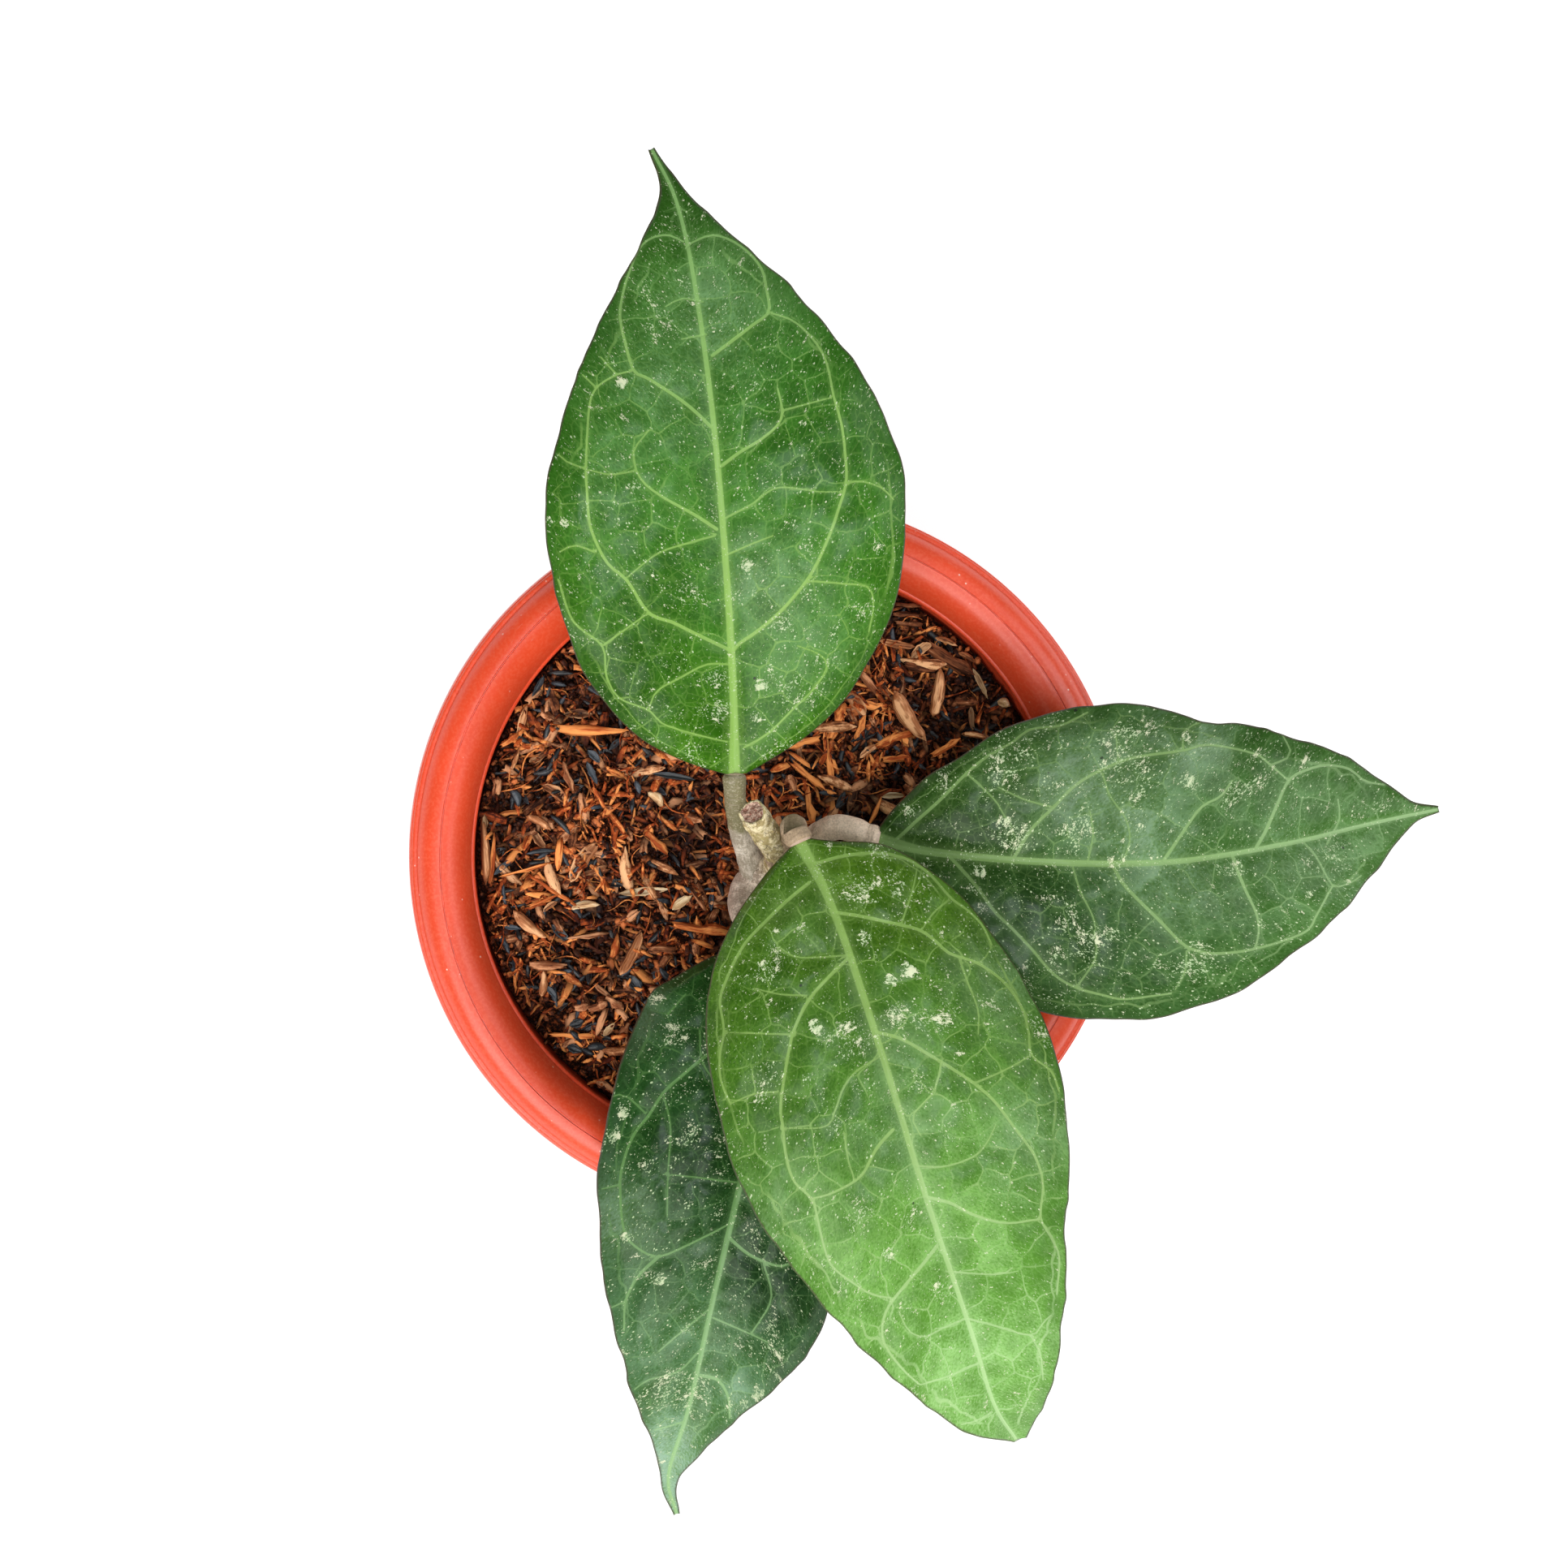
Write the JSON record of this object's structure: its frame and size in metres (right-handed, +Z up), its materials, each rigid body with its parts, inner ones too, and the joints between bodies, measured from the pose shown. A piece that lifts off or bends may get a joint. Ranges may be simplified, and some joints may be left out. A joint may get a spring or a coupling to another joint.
{
  "type": "potted hoya plant",
  "caption": "Young hoya with thick, waxy, oval pointed leaves on a short woody vine, rooted in bark and husk mix in a round plastic nursery pot with a broad rolled rim.",
  "frame": {"origin": "centre of the pot's flat foot, on the ground", "axes": "+Z up along the pot's axis; +Y along the back leaf; +X along the right leaf"},
  "size_m": [0.1614, 0.2148, 0.1386],
  "materials": {
    "pot_plastic": "satin red-orange moulded plastic with light scuffs",
    "potting_mix": "loose dark mix of coir chips, rice husks, charred husks and bark",
    "vine_bark": "pale flaky bark over a pinkish brown cut face",
    "petiole_skin": "smooth taupe to olive skin",
    "leaf_mid_green": "waxy mid green blade with pale veins and silvery flecks",
    "leaf_dark_green": "waxy dark green blade with pale veins and silvery flecks",
    "leaf_bright_green": "waxy bright green blade with pale veins and silvery flecks",
    "leaf_deep_green": "waxy deep teal green blade with pale veins and silvery flecks"
  },
  "bodies": {
    "root": {"pot": "pot_plastic", "potting_mix": "potting_mix", "vine_stem": "vine_bark", "petiole_back": "petiole_skin", "petiole_right": "petiole_skin", "petiole_front": "petiole_skin", "petiole_low": "petiole_skin", "leaf_back": "leaf_mid_green", "leaf_right": "leaf_dark_green", "leaf_front": "leaf_bright_green", "leaf_low": "leaf_deep_green"}
  },
  "joints": []
}
